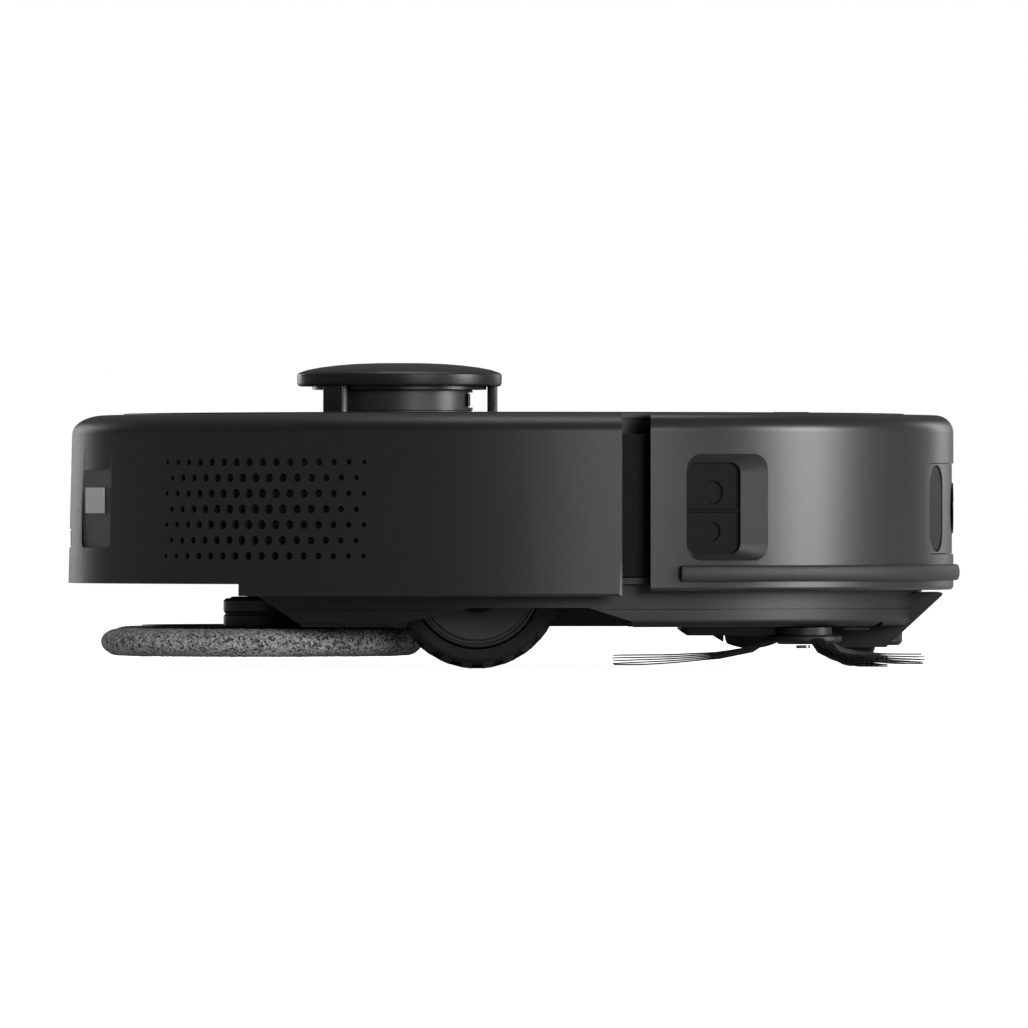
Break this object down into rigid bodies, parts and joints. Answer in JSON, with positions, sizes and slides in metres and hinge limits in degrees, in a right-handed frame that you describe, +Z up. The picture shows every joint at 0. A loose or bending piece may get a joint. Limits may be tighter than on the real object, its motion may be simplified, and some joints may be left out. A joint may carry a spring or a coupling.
{
  "type": "robot vacuum",
  "caption": "Round robot vacuum with a lidar turret, sprung bumper, side brush, main brush and spinning mop pads that lift.",
  "frame": {"origin": "on the floor under the middle of the body's bounding box", "axes": "+X to the robot's front, +Y to its left, +Z up"},
  "size_m": [0.3499, 0.35, 0.119],
  "materials": {
    "charcoal_casing": "fine matte moulded ABS",
    "satin_casing": "satin painted ABS",
    "black_plastic": "moulded, lightly textured",
    "dark_window": "polished infrared-clear plastic",
    "rubber": "moulded rubber",
    "contact_metal": "plated, brushed",
    "steel": "turned",
    "mop_fabric": "looped microfibre, salt and pepper grey",
    "filter_paper": "pleated filter paper",
    "circuit_board": "solder mask",
    "clear_plastic": "smoke-tinted moulded plastic"
  },
  "bodies": {
    "chassis": {"battery": "black_plastic", "bin_filter": "filter_paper", "brush_cover": "clear_plastic", "brush_gearbox": "black_plastic", "brush_guard": "satin_casing", "caster_ramp": "black_plastic", "charge_contact_left": "contact_metal", "charge_contact_right": "contact_metal", "chassis_tray": "black_plastic", "cliff_sensor_left": "dark_window", "cliff_sensor_right": "dark_window", "dust_bin": "clear_plastic", "fan_housing": "black_plastic", "inner_frame": "black_plastic", "lid_hinge_pin": "steel", "lidar_belt": "rubber", "lidar_guard": "satin_casing", "lidar_motor": "steel", "main_board": "circuit_board", "rear_window": "dark_window", "side_brush_motor": "steel", "side_wall": "charcoal_casing", "speaker": "black_plastic", "top_deck": "charcoal_casing", "water_pump": "black_plastic", "water_tank": "clear_plastic", "wheel_housing_left": "black_plastic", "wheel_housing_right": "black_plastic"},
    "bumper": {"bumper_shell": "satin_casing", "bumper_strip": "rubber", "front_window": "dark_window", "side_window_right": "dark_window", "side_window_left": "dark_window"},
    "lid": {"top_lid": "charcoal_casing"},
    "drum": {"lidar_drum": "black_plastic"},
    "pulley": {"lidar_pulley": "steel"},
    "power_key": {"power_button": "satin_casing"},
    "home_key": {"home_button": "satin_casing"},
    "arm_left": {"wheel_arm_left": "black_plastic"},
    "arm_right": {"wheel_arm_right": "black_plastic"},
    "wheel_left": {"wheel_hub_left": "black_plastic", "wheel_tyre_left": "rubber"},
    "wheel_right": {"wheel_hub_right": "black_plastic", "wheel_tyre_right": "rubber"},
    "caster": {"caster_fork": "black_plastic", "caster_axle": "steel"},
    "caster_roller": {"caster_wheel": "rubber"},
    "main_brush": {"brush_core": "black_plastic", "brush_vanes": "rubber"},
    "side_brush": {"side_brush_hub": "black_plastic", "side_brush_arms": "rubber", "side_brush_screw": "steel"},
    "mop_lift": {"mop_lift_frame": "black_plastic"},
    "mop_left": {"mop_hub_left": "black_plastic", "mop_plate_left": "black_plastic", "mop_pad_left": "mop_fabric"},
    "mop_right": {"mop_hub_right": "black_plastic", "mop_plate_right": "black_plastic", "mop_pad_right": "mop_fabric"},
    "fan": {"fan_impeller": "black_plastic"}
  },
  "joints": [
    {"name": "bumper_slide", "type": "slide", "parent": "chassis", "child": "bumper", "axis": [-1, 0, 0], "range_m": [0, 0.0035], "stiffness_N_per_m": 500, "springref_m": -0.003},
    {"name": "lid_hinge", "type": "hinge", "parent": "chassis", "child": "lid", "pos_m": [0.0075, 0, 0.0965], "axis": [0, -1, 0], "range_deg": [0, 80]},
    {"name": "drum_spin", "type": "hinge", "parent": "chassis", "child": "drum", "pos_m": [-0.045, 0, 0.0985], "axis": [0, 0, 1], "continuous": true},
    {"name": "pulley_spin", "type": "hinge", "parent": "chassis", "child": "pulley", "pos_m": [-0.088, 0, 0.091], "axis": [0, 0, 1], "continuous": true},
    {"name": "power_press", "type": "slide", "parent": "chassis", "child": "power_key", "axis": [0, 0, -1], "range_m": [0, 0.0008], "stiffness_N_per_m": 500, "springref_m": -0.0006},
    {"name": "home_press", "type": "slide", "parent": "chassis", "child": "home_key", "axis": [0, 0, -1], "range_m": [0, 0.0008], "stiffness_N_per_m": 500, "springref_m": -0.0006},
    {"name": "arm_left_swing", "type": "hinge", "parent": "chassis", "child": "arm_left", "pos_m": [0.03, 0.0915, 0.04], "axis": [0, -1, 0], "range_deg": [0, 14], "stiffness_Nm_per_rad": 0.4, "springref_deg": 40.11},
    {"name": "arm_right_swing", "type": "hinge", "parent": "chassis", "child": "arm_right", "pos_m": [0.03, -0.0915, 0.04], "axis": [0, -1, 0], "range_deg": [0, 14], "stiffness_Nm_per_rad": 0.4, "springref_deg": 40.11},
    {"name": "wheel_left_spin", "type": "hinge", "parent": "arm_left", "child": "wheel_left", "pos_m": [-0.0144, 0.115, 0.0327], "axis": [0, 1, 0], "continuous": true},
    {"name": "wheel_right_spin", "type": "hinge", "parent": "arm_right", "child": "wheel_right", "pos_m": [-0.0144, -0.115, 0.0327], "axis": [0, 1, 0], "continuous": true},
    {"name": "caster_swivel", "type": "hinge", "parent": "chassis", "child": "caster", "pos_m": [0.1375, 0, 0.029], "axis": [0, 0, 1], "continuous": true},
    {"name": "caster_roll", "type": "hinge", "parent": "caster", "child": "caster_roller", "pos_m": [0.1325, 0, 0.0095], "axis": [0, 1, 0], "continuous": true},
    {"name": "main_brush_spin", "type": "hinge", "parent": "chassis", "child": "main_brush", "pos_m": [0.092, 0, 0.0292], "axis": [0, 1, 0], "continuous": true},
    {"name": "side_brush_spin", "type": "hinge", "parent": "chassis", "child": "side_brush", "pos_m": [0.112, -0.096, 0.0125], "axis": [0, 0, 1], "continuous": true},
    {"name": "mop_lift_slide", "type": "slide", "parent": "chassis", "child": "mop_lift", "axis": [0, 0, -1], "range_m": [0, 0.0043]},
    {"name": "mop_left_spin", "type": "hinge", "parent": "mop_lift", "child": "mop_left", "pos_m": [-0.098, 0.0655, 0.0162], "axis": [0, 0, 1], "continuous": true},
    {"name": "mop_right_spin", "type": "hinge", "parent": "mop_lift", "child": "mop_right", "pos_m": [-0.098, -0.0655, 0.0162], "axis": [0, 0, 1], "continuous": true},
    {"name": "fan_spin", "type": "hinge", "parent": "chassis", "child": "fan", "pos_m": [-0.08, -0.108, 0.0535], "axis": [0, 0, 1], "continuous": true}
  ],
  "couplings": [
    {"joint": "pulley_spin", "follows": "drum_spin", "ratio": 5.3333},
    {"joint": "mop_right_spin", "follows": "mop_left_spin", "ratio": -1}
  ]
}
